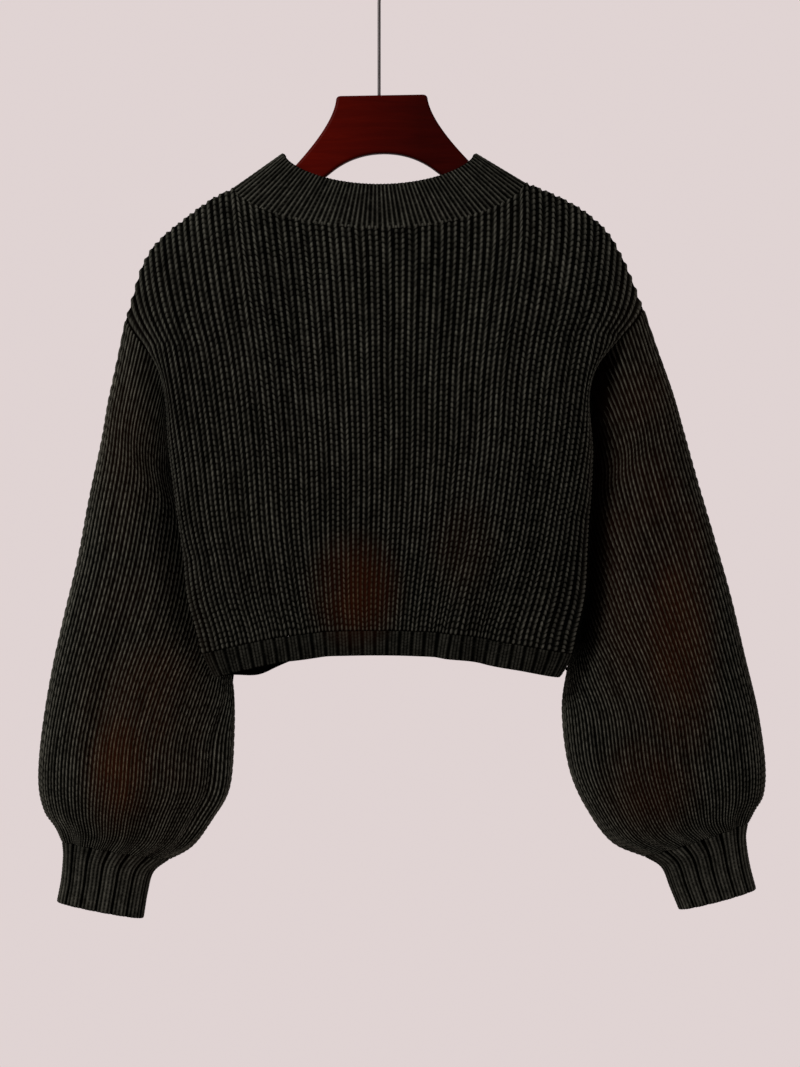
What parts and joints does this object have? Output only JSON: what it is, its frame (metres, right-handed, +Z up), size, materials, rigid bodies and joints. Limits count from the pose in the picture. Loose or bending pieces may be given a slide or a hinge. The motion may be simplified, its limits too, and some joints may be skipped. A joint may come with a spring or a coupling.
{
  "type": "cropped knit sweater on a wooden hanger",
  "caption": "Cropped rib-knit sweater with balloon sleeves, ribbed cuffs, neckband and hem, hanging open and empty on a flat wooden hanger with a long wire hook.",
  "frame": {"origin": "inner top of the hanger's hook, where a rail or wall hook carries it", "axes": "+Z up, +X to the right of the garment as seen from the front, -Y towards the viewer, so the front faces -Y"},
  "size_m": [0.7009, 0.1018, 0.9468],
  "materials": {
    "knit": "chunky rib knit, matte, near black",
    "wood": "dark red-brown varnish, satin",
    "hook": "dark wire, satin"
  },
  "bodies": {
    "root": {"front_panel": "knit", "back_panel": "knit", "sleeve_left": "knit", "sleeve_right": "knit", "cuff_left": "knit", "cuff_right": "knit", "neckband": "knit", "hem_front": "knit", "hem_back": "knit", "hanger_board": "wood", "hanger_hook": "hook"}
  },
  "joints": []
}
